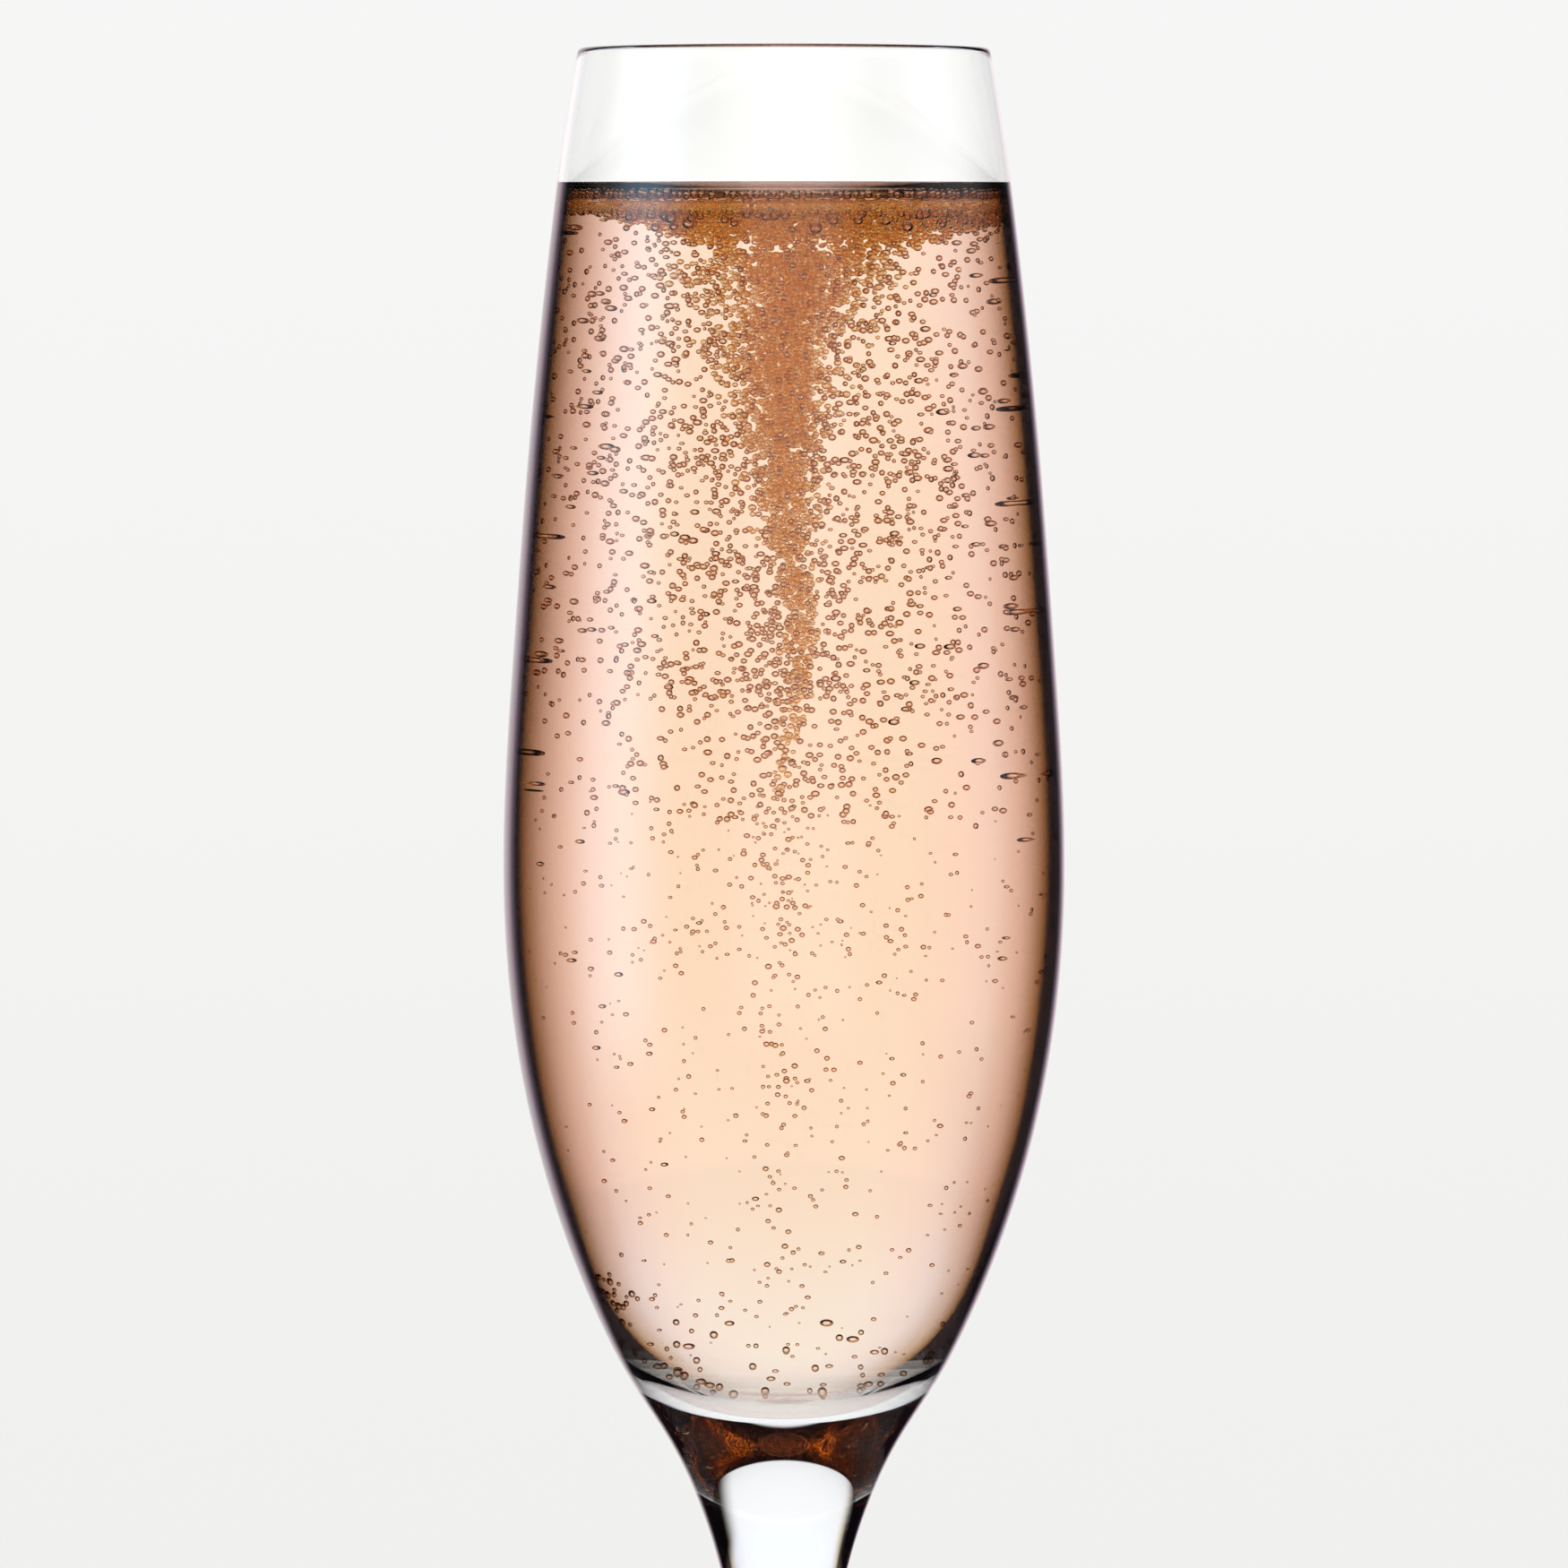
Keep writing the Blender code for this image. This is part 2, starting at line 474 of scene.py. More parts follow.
def markWet(piece):
    # marks the faces that lie along the bowl's inner side, up to the edge of the wine
    lowest = flute["floorHeight"] - 0.001
    highest = wine["level"] + curl()[-1][1]
    mesh = piece.data
    centres = np.zeros(3 * len(mesh.polygons))
    mesh.polygons.foreach_get("center", centres)
    centres = centres.reshape(-1, 3)
    spots = np.stack((np.hypot(centres[:, 0], centres[:, 1]), centres[:, 2]), axis=1)
    curve = np.array(wallCurve(0.0))
    nearest = np.full(len(spots), np.inf)
    for start, end in zip(curve, curve[1:]):
        run = end - start
        share = np.clip((spots - start) @ run / (run @ run), 0.0, 1.0)
        nearest = np.minimum(nearest, np.linalg.norm(spots - start - share[:, None] * run, axis=1))
    isWet = (nearest < paintedEdgeShade["wetReach"]) & (spots[:, 1] > lowest) & (spots[:, 1] < highest)
    markFaces(piece, "wet", isWet)
    print(piece.name, "wet faces:", int(isWet.sum()))
    return isWet, spots[:, 1]


glassPaintedEdgeShade = (    # (slant, share of light) of the painted shade, black at the stem's edges
    (0.00, (1.0, 1.0, 1.0)),
    (0.36, (1.0, 1.0, 1.0)),
    (0.42, (0.80, 0.62, 0.40)),
    (0.48, (0.02, 0.01, 0.005)),
    (1.00, (0.0, 0.0, 0.0)),
)
# (slant, share of light) of the painted shade, brown to black at the wine's edges
winePaintedEdgeShade = (
    (0.000, (1.00, 1.00, 1.00)),
    (0.045, (1.00, 0.99, 0.97)),
    (0.089, (1.00, 0.87, 0.87)),
    (0.124, (0.90, 0.765, 0.79)),
    (0.144, (0.80, 0.66, 0.65)),
    (0.166, (0.67, 0.48, 0.415)),
    (0.184, (0.575, 0.373, 0.278)),
    (0.199, (0.47, 0.268, 0.183)),
    (0.215, (0.294, 0.139, 0.064)),
    (0.226, (0.178, 0.062, 0.016)),
    (0.234, (0.057, 0.018, 0.004)),
    (0.239, (0.002, 0.001, 0.001)),
    (1.000, (0.0, 0.0, 0.0)),
)


def glassMaterial():
    material, nodes, links = plainMaterial("Clear glass", (0.95, 0.97, 0.96, 0.35))
    shader = nodes["Principled BSDF"]
    quietWhereWet(nodes, links, shader)
    paintShadeTowardsEdge(nodes, links, shader, glassPaintedEdgeShade)
    clearLook(shader, flute["ior"])
    tintInside(nodes, links, flute)
    return material


def wineMaterial():
    material, nodes, links = plainMaterial("Rose wine", (0.95, 0.70, 0.56, 0.7))
    shader = nodes["Principled BSDF"]
    quietWhereWet(nodes, links, shader)
    paintShadeTowardsEdge(nodes, links, shader, winePaintedEdgeShade)
    clearLook(shader, wine["ior"])
    tintInside(nodes, links, wine)
    return material


gasPaintedRingTints = {    # middle and ring of the bubbles' skin; the dark ring is painted shade
    "free": ((1.0, 0.94, 0.86), (0.66, 0.45, 0.31)),
    "plume": ((1.0, 0.93, 0.79), (0.96, 0.83, 0.60)),
    "foam": ((1.0, 0.90, 0.68), (0.93, 0.73, 0.38)),
}
# how far the skin has gone from the middle's colour to the ring's painted shade, by its slant
paintedRingShares = ((0.0, 0.0), (0.13, 0.02), (0.20, 0.25), (0.30, 1.0), (0.55, 1.0), (1.0, 0.6))


def paintedRingBubbleMaterial(name, middle, ring):
    # painted shade: the skin darkens from its middle to a ring near its edge
    material, nodes, links = plainMaterial(name, (1.0, 0.86, 0.76, 0.5))
    nodes.remove(nodes["Principled BSDF"])
    skin = nodes.new("ShaderNodeBsdfGlass")
    skin.inputs["Roughness"].default_value = 0.0
    skin.inputs["IOR"].default_value = 1.0 / wine["ior"]    # gas inside wine
    weight = nodes.new("ShaderNodeLayerWeight")
    weight.inputs["Blend"].default_value = 0.5
    shades = []
    for position, share in paintedRingShares:
        shades.append((position, tuple(m + (r - m) * share for m, r in zip(middle, ring))))
    links.new(colorStops(nodes, links, weight.outputs["Facing"], shades), skin.inputs["Color"])
    links.new(skin.outputs["BSDF"], nodes["Material Output"].inputs["Surface"])
    return material


# ---- bubbles: a ball on each point ----

def bubbleTree():
    tree = newTree("Bubbles on points", (
        ("Smallest radius", "NodeSocketFloat", 0.0002),
        ("Largest radius", "NodeSocketFloat", 0.0004),
        ("Flatness", "NodeSocketFloat", 1.0),
        ("Ball detail", "NodeSocketInt", 2),
        ("Seed", "NodeSocketInt", 1),
        ("Finish", "NodeSocketMaterial", None),
    ))
    nodes, links = tree.nodes, tree.links
    given = nodes.new("NodeGroupInput")
    made = nodes.new("NodeGroupOutput")
    ball = nodes.new("GeometryNodeMeshIcoSphere")
    ball.inputs["Radius"].default_value = 1.0
    spread = nodes.new("FunctionNodeRandomValue")
    spread.data_type = "FLOAT"
    spin = nodes.new("FunctionNodeRandomValue")
    spin.data_type = "FLOAT"
    spin.inputs["Max"].default_value = math.tau
    turn = nodes.new("ShaderNodeCombineXYZ")
    size = nodes.new("ShaderNodeCombineXYZ")
    flat = nodes.new("ShaderNodeMath")
    flat.operation = "MULTIPLY"
    place = nodes.new("GeometryNodeInstanceOnPoints")
    realize = nodes.new("GeometryNodeRealizeInstances")
    smooth = nodes.new("GeometryNodeSetShadeSmooth")
    finish = nodes.new("GeometryNodeSetMaterial")
    links.new(given.outputs["Ball detail"], ball.inputs["Subdivisions"])
    links.new(given.outputs["Smallest radius"], spread.inputs["Min"])
    links.new(given.outputs["Largest radius"], spread.inputs["Max"])
    links.new(given.outputs["Seed"], spread.inputs["Seed"])
    links.new(given.outputs["Seed"], spin.inputs["Seed"])
    links.new(spread.outputs["Value"], size.inputs["X"])
    links.new(spread.outputs["Value"], size.inputs["Y"])
    links.new(spread.outputs["Value"], flat.inputs[0])
    links.new(given.outputs["Flatness"], flat.inputs[1])
    links.new(flat.outputs["Value"], size.inputs["Z"])
    links.new(spin.outputs["Value"], turn.inputs["Z"])
    links.new(given.outputs["Geometry"], place.inputs["Points"])
    links.new(ball.outputs["Mesh"], place.inputs["Instance"])
    links.new(turn.outputs["Vector"], place.inputs["Rotation"])
    links.new(size.outputs["Vector"], place.inputs["Scale"])
    links.new(place.outputs["Instances"], realize.inputs["Geometry"])
    links.new(realize.outputs["Geometry"], smooth.inputs["Geometry"])
    links.new(smooth.outputs["Geometry"], finish.inputs["Geometry"])
    links.new(given.outputs["Finish"], finish.inputs["Material"])
    links.new(finish.outputs["Geometry"], made.inputs["Geometry"])
    return tree


def bubblePiece(name, points, sizes, material, tree):
    cloud = bpy.data.meshes.new(name + "Points")
    cloud.from_pydata([tuple(p) for p in points], [], [])
    values = dict(sizes)
    values["Finish"] = material
    piece = bake(name, cloud, tree, values)
    print(name, len(points), "bubbles,", len(piece.data.polygons), "faces")
    return piece


class Crowd:
    # keeps bubbles apart: a point is taken only if it clears the ones before it
    def __init__(self):
        self.cells = {}
        self.cell = 0.002

    def key(self, p):
        return tuple(int(math.floor(c / self.cell)) for c in p)

    def clear(self, p, reach):
        kx, ky, kz = self.key(p)
        for i in (-1, 0, 1):
            for j in (-1, 0, 1):
                for k in (-1, 0, 1):
                    for q, qReach in self.cells.get((kx + i, ky + j, kz + k), ()):
                        gap = reach + qReach
                        if sum((a - b) ** 2 for a, b in zip(p, q)) < gap * gap:
                            return False
        return True

    def take(self, p, reach):
        self.cells.setdefault(self.key(p), []).append((p, reach))


crowd = Crowd()
innerCurve = wallCurve(0.0)
innerHeights = [p[1] for p in innerCurve]
innerRadii = [p[0] for p in innerCurve]


def bowlRadius(z):
    return float(np.interp(z, innerHeights, innerRadii))


def settle(p, reach, clearance=0.9):
    # takes the point if nothing taken before is in its way
    if crowd.clear(p, reach * clearance):
        crowd.take(p, reach * clearance)
        return True
    return False


surfaceBig = {
    "seed": 8,
    "count": 60,
    "Smallest radius": 0.00036,
    "Largest radius": 0.00074,
    "Flatness": 0.9,
    "Ball detail": 3,
    "nearShare": 0.75,            # how many float at the near side, and over what half angle
    "nearAngle": 1.35,
    "nearRing": (0.0172, 0.0206),    # radii between which those float
    "farRadius": 0.0195,
    "depth": 0.0016,
    "clearLeft": -0.0155,         # none further left
}


def surfaceBigPoints():
    # the largest bubbles, floating just under the surface
    rng = np.random.default_rng(surfaceBig["seed"])
    biggest = surfaceBig["Largest radius"]
    nearest, furthest = surfaceBig["nearRing"]
    points = []
    tries = 0
    while len(points) < surfaceBig["count"] and tries < 5000:
        tries += 1
        if rng.random() < surfaceBig["nearShare"]:
            around = -0.5 * math.pi + surfaceBig["nearAngle"] * (2 * rng.random() - 1)
            radius = nearest + (furthest - nearest) * rng.random()
        else:
            around = rng.random() * math.tau
            radius = surfaceBig["farRadius"] * rng.random() ** 0.4
        p = (radius * math.cos(around), radius * math.sin(around),
             wine["level"] - biggest * 1.02 - surfaceBig["depth"] * rng.random() ** 2)
        if p[0] < surfaceBig["clearLeft"]:
            continue
        if settle(p, biggest):
            points.append(p)
    return points


rimRing = {
    "seed": 3,
    "count": 170,
    "Smallest radius": 0.00030,
    "Largest radius": 0.00044,
    "Ball detail": 2,
    "fromWall": 0.00046,
    "fromWallSpread": 0.00030,
    "sunk": 0.00040,              # below the curl
    "reach": 0.0003,
}


def rimRingPoints():
    # a row of bubbles resting in the curl along the wall
    rng = np.random.default_rng(rimRing["seed"])
    climb = curl()
    lipRadius = wallRadius(wine["level"] + climb[-1][1])
    points = []
    for k in range(rimRing["count"]):
        around = math.tau * (k + 0.5 * rng.random()) / rimRing["count"]
        distance = rimRing["fromWall"] + rimRing["fromWallSpread"] * rng.random()
        rise = float(np.interp(-distance, [-c[0] for c in climb], [c[1] for c in climb]))
        radius = lipRadius - distance
        z = wine["level"] + rise - rimRing["sunk"]
        p = (radius * math.cos(around), radius * math.sin(around), z)
        if settle(p, rimRing["reach"]):
            points.append(p)
    return points


cap = {
    "seed": 23,
    "count": 2250,
    "Smallest radius": 0.00021,
    "Largest radius": 0.00042,
    "Ball detail": 2,
    "middle": 0.0014,
    "widest": 0.0208,
    "deeperRight": 0.055,         # extra depth for each metre to the right
    # (distance from the middle, depth of the foam there)
    "depth": (
        (0.0000, 0.0095),
        (0.0048, 0.0063),
        (0.0065, 0.0050),
        (0.0091, 0.0037),
        (0.0113, 0.0028),
        (0.0143, 0.0017),
        (0.0165, 0.0008),
        (0.0200, 0.0004),
    ),
}


def capPoints():
    # the foam under the surface: deepest over the plume, gone at the far left
    rng = np.random.default_rng(cap["seed"])
    steps = [row[0] for row in cap["depth"]]
    depths = [row[1] for row in cap["depth"]]
    usual = 0.5 * (cap["Smallest radius"] + cap["Largest radius"])
    points = []
    tries = 0
    while len(points) < cap["count"] and tries < 120000:
        tries += 1
        around = rng.random() * math.tau
        radius = cap["widest"] * math.sqrt(rng.random())
        x = radius * math.cos(around)
        y = radius * math.sin(around)
        away = math.hypot(x - cap["middle"], y)
        depth = float(np.interp(away, steps, depths)) + cap["deeperRight"] * max(0.0, x)
        z = wine["level"] - usual - 0.0001 - depth * rng.random()
        p = (x, y, z)
        if settle(p, usual, 0.85):
            points.append(p)
    return points


plume = {
    "seed": 11,
    "count": 2400,
    "Smallest radius": 0.00020,
    "Largest radius": 0.00038,
    "Ball detail": 2,
    "lowest": 0.1500,
    "tall": 0.0555,
    "crowding": 0.48,             # under 1 puts more of them high up
    "knotsBelow": 0.186,          # lower down it is knotted, so many knots a metre
    "knots": 1250.0,
    # (height, x of the middle, half width)
    "course": (
        (0.1500, -0.0008, 0.0006),
        (0.1586, 0.0008, 0.0008),
        (0.1632, 0.0012, 0.0010),
        (0.1678, 0.0015, 0.0013),
        (0.1752, 0.0004, 0.0018),
        (0.1817, 0.0000, 0.0028),
        (0.1891, 0.0000, 0.0035),
        (0.1956, -0.0003, 0.0044),
        (0.2003, 0.0004, 0.0060),
        (0.2048, 0.0008, 0.0085),
    ),
}


def plumePoints():
    # the dense column that widens upwards into the foam
    rng = np.random.default_rng(plume["seed"])
    heights, middles, widths = zip(*plume["course"])
    usual = 0.5 * (plume["Smallest radius"] + plume["Largest radius"])
    points = []
    tries = 0
    while len(points) < plume["count"] and tries < 90000:
        tries += 1
        z = plume["lowest"] + plume["tall"] * rng.random() ** plume["crowding"]
        half = float(np.interp(z, heights, widths))
        middle = float(np.interp(z, heights, middles))
        if z < plume["knotsBelow"] and rng.random() > 0.66 + 0.34 * math.sin(z * plume["knots"]):
            continue
        away = half * abs(rng.normal(0.0, 0.55))
        around = rng.random() * math.tau
        p = (middle + away * math.cos(around), away * math.sin(around), z)
        if settle(p, usual):
            points.append(p)
    return points


trail = {
    "seed": 31,
    "count": 120,
    "Smallest radius": 0.00016,
    "Largest radius": 0.00030,
    "Ball detail": 2,
    "lowest": 0.0945,
    "highest": 0.1540,
    "thickens": 0.1600,           # the gaps close up towards this height
}


def trailPoints():
    # single bubbles and small knots that rise to the plume from the bowl's floor
    rng = np.random.default_rng(trail["seed"])
    fullGap = trail["thickens"] - trail["lowest"]
    points = []
    z = trail["lowest"]
    while z < trail["highest"] and len(points) < trail["count"]:
        inKnot = 1 + int(3.2 * rng.random() ** 2)
        sway = -0.0010 + 0.0011 * math.sin(z * 420.0) + 0.0005 * math.sin(z * 1130.0)
        for k in range(inKnot):
            spread = 0.00025 + 0.0004 * rng.random()
            p = (sway + spread * rng.normal(), 0.6 * spread * rng.normal(), z + spread * rng.normal())
            if settle(p, trail["Largest radius"]):
                points.append(p)
        z += 0.0006 + 0.0030 * rng.random() * (trail["thickens"] - z) / fullGap
    return points


drift = {
    "seed": 5,
    "Smallest radius": 0.00017,
    "Largest radius": 0.00035,
    "Ball detail": 2,
    "fromWall": 0.0006,
    # (lowest, highest, how many, how far from the axis most of them keep)
    "topLayers": (
        (0.1830, 0.2085, 1600, 0.0130),
    ),
    "highLayers": (
        (0.1600, 0.1840, 1300, 0.0130),
        (0.1480, 0.1620, 400, 0.0140),
    ),
    "lowLayers": (
        (0.1350, 0.1500, 300, 0.0150),
        (0.1180, 0.1370, 230, 0.0190),
        (0.0930, 0.1200, 190, 0.0190),
    ),
}
# low down they are still small
smallDrift = {**drift, "Smallest radius": 0.00009, "Largest radius": 0.00025}


def driftPoints(layers, seed):
    # bubbles rising freely through the whole bowl, more of them near the top
    rng = np.random.default_rng(seed)
    points = []
    for low, high, count, spread in layers:
        made = 0
        tries = 0
        while made < count and tries < 20 * count:
            tries += 1
            z = low + (high - low) * rng.random()
            limit = bowlRadius(z) - drift["fromWall"]
            if rng.random() < 0.6:
                radius = abs(rng.normal(0.0, spread))
            else:
                radius = limit * math.sqrt(rng.random())
            if radius > limit:
                continue
            around = rng.random() * math.tau
            p = (radius * math.cos(around), radius * math.sin(around), z)
            if settle(p, drift["Largest radius"]):
                points.append(p)
                made += 1
    return points


def topDriftPoints():
    return driftPoints(drift["topLayers"], drift["seed"])


def highDriftPoints():
    return driftPoints(drift["highLayers"], drift["seed"] + 1)


def lowDriftPoints():
    return driftPoints(drift["lowLayers"], drift["seed"] + 2)


floorBubbles = {
    "seed": 17,
    "count": 95,
    "Smallest radius": 0.00022,
    "Largest radius": 0.00044,
    "Ball detail": 3,
    "clusterShare": 0.35,
    "clusterHeight": (0.1005, 0.0012),              # middle and spread
    "clusterTurn": (math.pi + 0.35, 0.14),
    "band": (0.0905, 0.0080),                       # lowest, and how tall
    "fromWall": (0.0009, 0.0007),                   # least, and how much more
}


def floorPoints():
    # bubbles that cling to the lower wall, with a cluster on the left
    rng = np.random.default_rng(floorBubbles["seed"])
    points = []
    tries = 0
    while len(points) < floorBubbles["count"] and tries < 4000:
        tries += 1
        if rng.random() < floorBubbles["clusterShare"]:
            middle, spread = floorBubbles["clusterHeight"]
            z = middle + spread * rng.normal()
            middle, spread = floorBubbles["clusterTurn"]
            around = middle + spread * rng.normal()
        else:
            lowest, tall = floorBubbles["band"]
            z = lowest + tall * rng.random() ** 1.4
            around = rng.random() * math.tau
        least, more = floorBubbles["fromWall"]
        radius = bowlRadius(z) - least - more * rng.random()
        if radius < 0.002:
            continue
        p = (radius * math.cos(around), radius * math.sin(around), z)
        if settle(p, floorBubbles["Largest radius"], 0.85):
            points.append(p)
    return points


# ---- the studio ----

studio = {
    "backdropTop": (0.925, 0.925, 0.920),
    "backdropBottom": (0.875, 0.875, 0.865),
    "softLight": (1.03, 1.03, 1.03),    # what lights the floor
    "lean": 5.0,                        # degrees that the panels stand off the middle
    "panelStops": (                     # turn from straight ahead in degrees, colour
        (0.0, (1.10, 1.11, 1.08)),
        (22.0, (1.10, 1.10, 1.08)),
        (30.0, (1.08, 1.06, 1.05)),
        (37.0, (0.99, 0.96, 0.95)),
        (45.0, (0.82, 0.79, 0.78)),
        (53.0, (0.66, 0.62, 0.62)),
        (64.0, (0.62, 0.59, 0.60)),
        (74.0, (0.85, 0.83, 0.83)),
        (84.0, (1.05, 1.04, 1.02)),
        (90.0, (1.08, 1.07, 1.05)),
    ),
    "upperTint": (1.0, 1.03, 1.13),     # how the panels' upper part differs
    "upperStart": (3.0, 12.0),          # from here on, in degrees up, like the other starts
    "panelReach": (13.0, 18.0),         # degrees up and down over which the panels end
    "lowPart": (0.76, 0.70, 0.80),
    "highPart": (1.10, 1.10, 1.12),
    "highSides": (0.006, 0.004, 0.004),
    "highSidesTurn": (30.0, 48.0),
    "highStart": (-2.865, 2.865),
    "ceilingStart": (37.0, 38.5),
    "ceilingMiddle": (0.004, 0.003, 0.003),
    "ceilingSides": (6.0, 2.4, 0.25),
    "ceilingSidesTurn": (62.0, 84.0),
    "ceilingPatches": {"Scale": 9.0, "Detail": 5.0, "Roughness": 0.7},
    "patchRange": (0.40, 0.60),
    "mirrorStops": (                    # what plain reflections find, by the same turn
        (0.0, (0.95, 0.88, 0.87)),
        (11.5, (1.00, 0.90, 0.92)),
        (17.0, (0.98, 0.80, 0.90)),
        (20.0, (0.88, 0.68, 0.80)),
        (25.7, (0.30, 0.23, 0.30)),
        (31.0, (0.025, 0.022, 0.035)),
        (38.0, (0.005, 0.005, 0.006)),
        (52.0, (0.005, 0.005, 0.006)),
        (62.0, (0.10, 0.09, 0.11)),
        (74.0, (0.45, 0.42, 0.46)),
        (90.0, (0.70, 0.66, 0.70)),
    ),
    "mirrorLow": (0.02, 0.015, 0.02),
    "mirrorLowEnd": (-22.0, -14.0),
    "backdropRise": (-9.0, 2.0),
    "softboxTurn": -108.0,
    "softboxSpread": (0.0, 29.0),
    "softboxRise": (10.0, 26.0),
    "softboxColor": (1.5, 2.7, 3.7),
}


def degreeRamp(nodes, links, value, reach, fromOne=False):
    low, high = (math.radians(angle) for angle in reach)
    return ramp(nodes, links, value, low, high, fromOne)


def makeWorld():
    # each kind of ray finds its own surroundings: the camera the backdrop, the floor an even light,
    # plain reflections the mirrored set, and what passes through the glass the lit panels
    world = bpy.data.worlds.new("Studio")
    bpy.context.scene.world = world
    world.use_nodes = True
    nodes, links = world.node_tree.nodes, world.node_tree.links
    nodes.clear()
    coords = nodes.new("ShaderNodeTexCoord")
    split = nodes.new("ShaderNodeSeparateXYZ")
    links.new(coords.outputs["Generated"], split.inputs["Vector"])
    turn = mathNode(nodes, links, "ARCTAN2", split.outputs["X"], split.outputs["Y"])
    leaning = mathNode(nodes, links, "ADD", turn, math.radians(studio["lean"]))
    away = mathNode(nodes, links, "ABSOLUTE", leaning)
    opposite = mathNode(nodes, links, "SUBTRACT", math.pi, away)
    folded = mathNode(nodes, links, "MINIMUM", away, mathNode(nodes, links, "ABSOLUTE", opposite))
    share = mathNode(nodes, links, "MULTIPLY", folded, 2 / math.pi)
    height = mathNode(nodes, links, "ARCSINE", split.outputs["Z"])
    level = mathNode(nodes, links, "ABSOLUTE", height)
    isHigh = degreeRamp(nodes, links, height, studio["highStart"])
    isAside = degreeRamp(nodes, links, folded, studio["highSidesTurn"])
    highAll = blendColor(nodes, links, isAside, studio["highPart"], studio["highSides"])
    rest = blendColor(nodes, links, isHigh, studio["lowPart"], highAll)
    isUpper = degreeRamp(nodes, links, height, studio["upperStart"])
    tinted = nodes.new("ShaderNodeVectorMath")
    tinted.operation = "MULTIPLY"
    links.new(stopRamp(nodes, links, share, studio["panelStops"]), tinted.inputs[0])
    links.new(blendColor(nodes, links, isUpper, (1.0, 1.0, 1.0), studio["upperTint"]), tinted.inputs[1])
    isPast = degreeRamp(nodes, links, level, studio["panelReach"])
    panels = blendColor(nodes, links, isPast, tinted.outputs["Vector"], rest)
    isSide = degreeRamp(nodes, links, folded, studio["ceilingSidesTurn"])
    patches = nodes.new("ShaderNodeTexNoise")    # broken up, for lively glints at the foot of the bowl
    for name, value in studio["ceilingPatches"].items():
        patches.inputs[name].default_value = value
    links.new(coords.outputs["Generated"], patches.inputs["Vector"])
    patchy = ramp(nodes, links, patches.outputs["Fac"], *studio["patchRange"])
    isLit = mathNode(nodes, links, "MULTIPLY", isSide, patchy)
    ceiling = blendColor(nodes, links, isLit, studio["ceilingMiddle"], studio["ceilingSides"])
    isCeiling = degreeRamp(nodes, links, height, studio["ceilingStart"])
    through = blendColor(nodes, links, isCeiling, panels, ceiling)

    isLow = degreeRamp(nodes, links, height, studio["mirrorLowEnd"], fromOne=True)
    mirrored = blendColor(nodes, links, isLow, stopRamp(nodes, links, share, studio["mirrorStops"]),
                          studio["mirrorLow"])
    fromBox = mathNode(nodes, links, "SUBTRACT", turn, math.radians(studio["softboxTurn"]))
    off = mathNode(nodes, links, "ABSOLUTE", fromBox)
    across = degreeRamp(nodes, links, off, studio["softboxSpread"], fromOne=True)
    upright = degreeRamp(nodes, links, level, studio["softboxRise"], fromOne=True)
    lit = mathNode(nodes, links, "MULTIPLY", across, upright)
    mirrored = blendColor(nodes, links, lit, mirrored, studio["softboxColor"])

    sight = nodes.new("ShaderNodeLightPath")
    seen = blendColor(nodes, links, sight.outputs["Is Reflection Ray"], through, mirrored)
    seen = blendColor(nodes, links, sight.outputs["Is Diffuse Ray"], seen, studio["softLight"])
    rise = degreeRamp(nodes, links, height, studio["backdropRise"])
    backdrop = blendColor(nodes, links, rise, studio["backdropBottom"], studio["backdropTop"])
    seen = blendColor(nodes, links, sight.outputs["Is Camera Ray"], seen, backdrop)
    light = nodes.new("ShaderNodeBackground")
    output = nodes.new("ShaderNodeOutputWorld")
    links.new(seen, light.inputs["Color"])
    links.new(light.outputs["Background"], output.inputs["Surface"])


paleFloor = {
    "radius": 0.5,
    "corners": 96,
    "color": (0.86, 0.86, 0.86),
    "roughness": 0.6,
    "specular": 0.2,
    "fade": (0.10, 0.42),    # distances over which it passes into the backdrop
}


def makeFloor():
    bpy.ops.mesh.primitive_circle_add(vertices=paleFloor["corners"], radius=paleFloor["radius"],
                                      fill_type="NGON")
    floor = bpy.context.object
    floor.name = "paleFloor"
    material, nodes, links = plainMaterial("Pale floor", (0.9, 0.9, 0.9, 1.0))
    shader = nodes["Principled BSDF"]
    shader.inputs["Base Color"].default_value = (*paleFloor["color"], 1.0)
    shader.inputs["Roughness"].default_value = paleFloor["roughness"]
    shader.inputs["Specular IOR Level"].default_value = paleFloor["specular"]
    coords = nodes.new("ShaderNodeTexCoord")
    distance = nodes.new("ShaderNodeVectorMath")
    distance.operation = "LENGTH"
    links.new(coords.outputs["Object"], distance.inputs[0])
    fade = ramp(nodes, links, distance.outputs["Value"], *paleFloor["fade"])
    clear = nodes.new("ShaderNodeBsdfTransparent")
    mix = nodes.new("ShaderNodeMixShader")
    sight = nodes.new("ShaderNodeLightPath")    # the glass shows no mirror image of the floor
    fade = mathNode(nodes, links, "MAXIMUM", fade, sight.outputs["Is Reflection Ray"])
    links.new(fade, mix.inputs["Fac"])
    links.new(shader.outputs["BSDF"], mix.inputs[1])
    links.new(clear.outputs["BSDF"], mix.inputs[2])
    links.new(mix.outputs["Shader"], nodes["Material Output"].inputs["Surface"])
    floor.data.materials.append(material)


camera = {
    "lens": 200.0,
    "distance": 0.900,
    "height": 0.2065,
    "aimHeight": 0.1516,
}


def makeCamera():
    data = bpy.data.cameras.new("Camera")
    data.lens = camera["lens"]
    data.sensor_width = 36.0
    data.clip_start = 0.05
    data.clip_end = 20.0
    eye = bpy.data.objects.new("Camera", data)
    bpy.context.scene.collection.objects.link(eye)
    eye.location = (0.0, -camera["distance"], camera["height"])
    aim = Vector((0.0, 0.0, camera["aimHeight"]))
    eye.rotation_euler = (aim - eye.location).to_track_quat("-Z", "Y").to_euler()
    bpy.context.scene.camera = eye


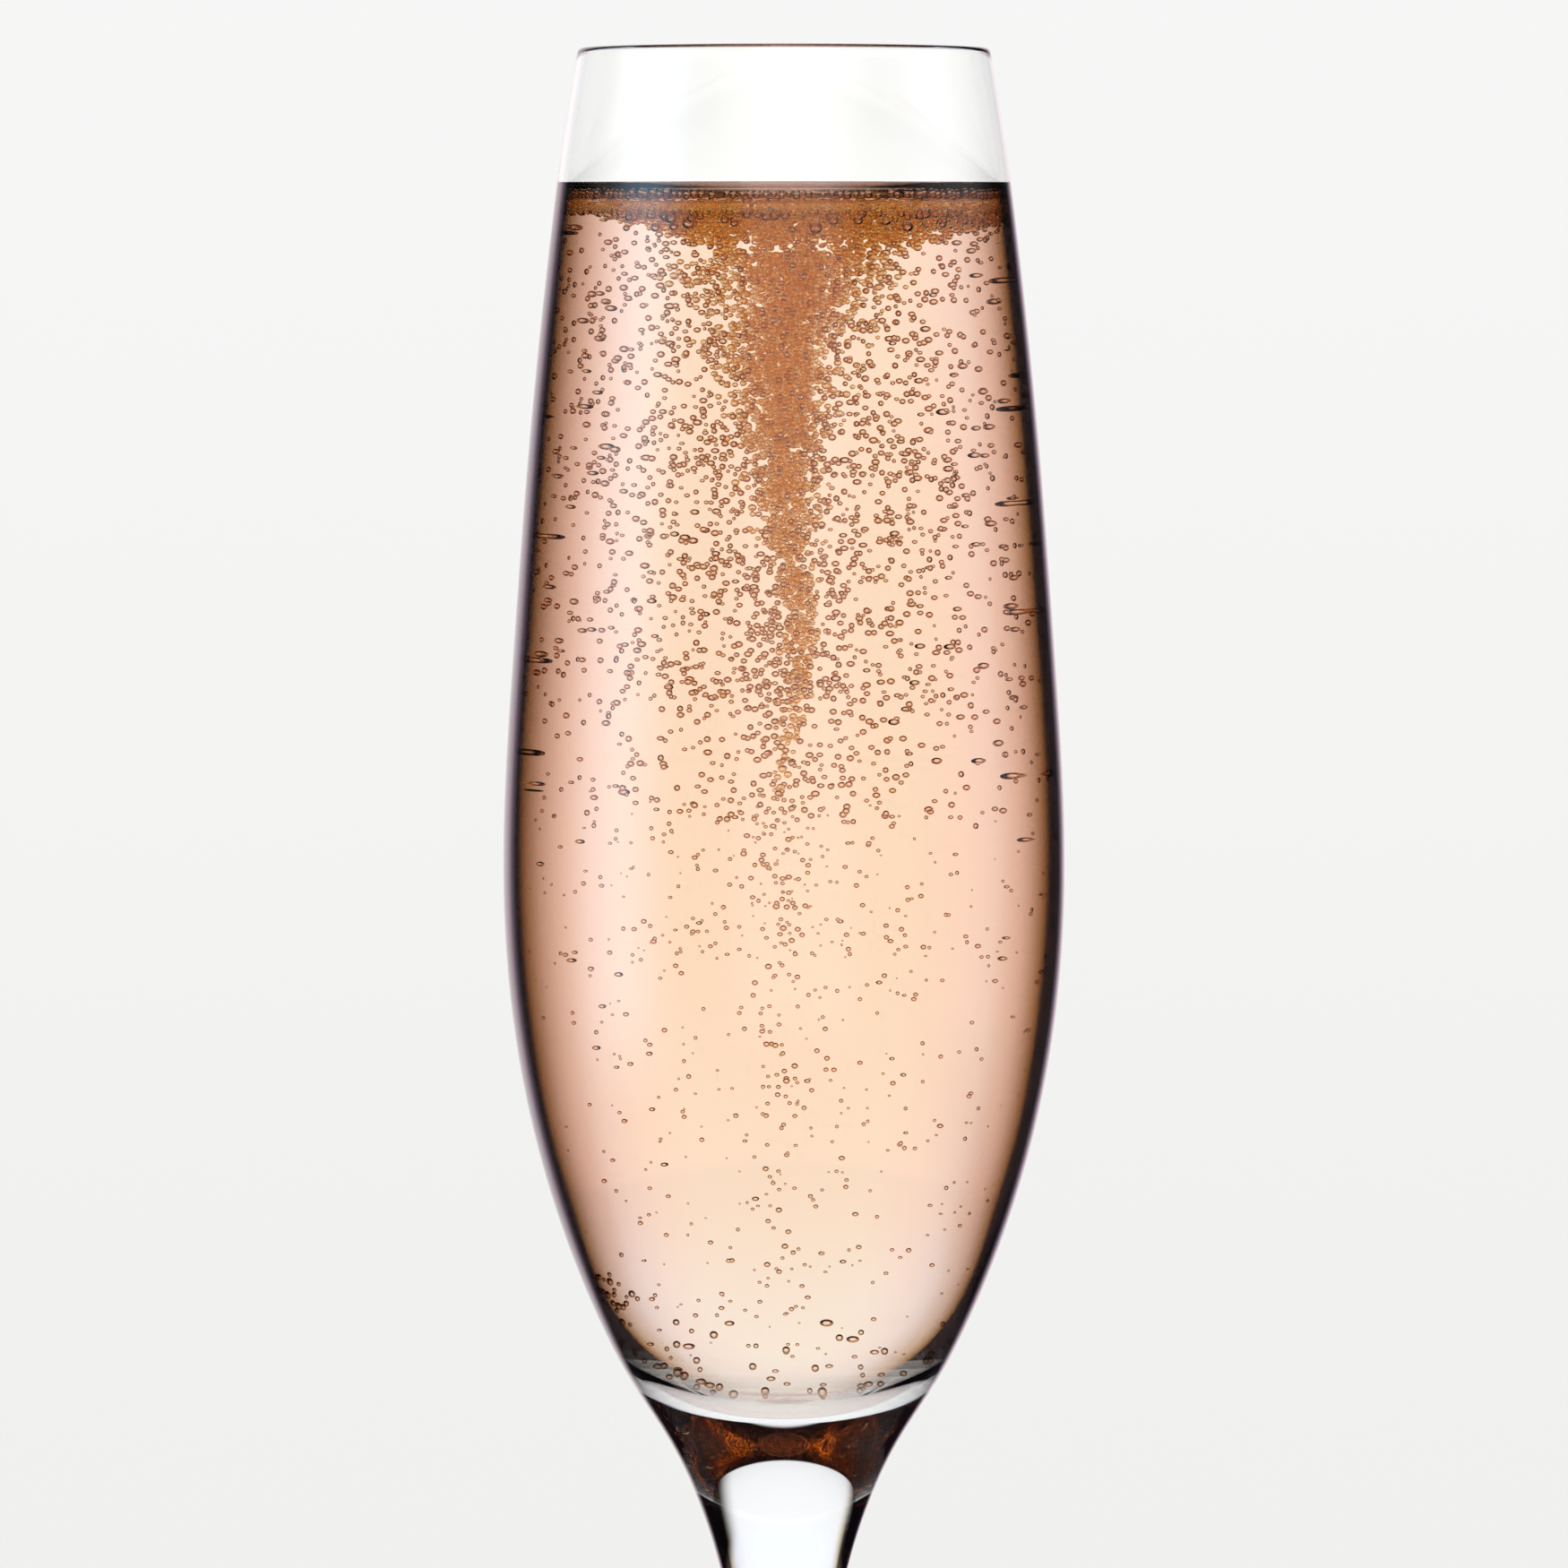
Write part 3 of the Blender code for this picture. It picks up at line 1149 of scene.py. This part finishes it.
# ---- making everything ----

makeWorld()
makeFloor()
makeCamera()
print("studio made")

turning = turningTree()
clearGlass = glassMaterial()
roseWine = wineMaterial()
fluteBowl = turned("fluteGlass", fluteProfile(), clearGlass, turning)
wineBody = turned("wineBody", wineProfile(), roseWine, turning)

isWet, heights = markWet(fluteBowl)
# painted shade towards the stem's edges, from low on the stem up to the bowl's floor, less at the stem's
# top
stemPaintedShade = risingMark(heights, *paintedEdgeShade["stemStart"]) * (1.0 - risingMark(heights, *paintedEdgeShade["stemEnd"]))
less = paintedEdgeShade["stemTopLess"] * risingMark(heights, *paintedEdgeShade["stemTop"])
markFaces(fluteBowl, "edge", stemPaintedShade * (1.0 - less))
isWet, heights = markWet(wineBody)
# painted shade towards the wine's edges, on its wet sides above the bowl's floor
markFaces(wineBody, "edge", isWet * risingMark(heights, *paintedEdgeShade["wineStart"]))
markPaintedShadeLean(wineBody)
print("glass and wine turned:", len(fluteBowl.data.polygons), len(wineBody.data.polygons))

gas = {kind: paintedRingBubbleMaterial("Gas " + kind, *colors) for kind, colors in gasPaintedRingTints.items()}
bubbles = bubbleTree()
pieces = []
bubbleKinds = (    # name, where they are, their sizes, their skin
    ("surfaceBubbles", surfaceBigPoints, surfaceBig, "free"),
    ("rimBubbles", rimRingPoints, rimRing, "free"),
    ("capBubbles", capPoints, cap, "foam"),
    ("plumeBubbles", plumePoints, plume, "plume"),
    ("trailBubbles", trailPoints, trail, "free"),
    ("floorBubbles", floorPoints, floorBubbles, "free"),
    ("topDriftBubbles", topDriftPoints, drift, "free"),
    ("highDriftBubbles", highDriftPoints, drift, "free"),
    ("lowDriftBubbles", lowDriftPoints, smallDrift, "free"),
)
for name, maker, look, kind in bubbleKinds:
    sizes = {key: value for key, value in look.items() if key[0].isupper()}
    sizes["Seed"] = look["seed"]
    pieces.append(bubblePiece(name, maker(), sizes, gas[kind], bubbles))

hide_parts("flute")
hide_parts("wine")
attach(fluteBowl, "root")
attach(wineBody, "root")
for piece in pieces:
    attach(piece, "root")

scene = bpy.context.scene
scene.view_settings.view_transform = "Standard"
scene.cycles.max_bounces = 40
scene.cycles.transmission_bounces = 40
scene.cycles.transparent_max_bounces = 16
scene.cycles.glossy_bounces = 8
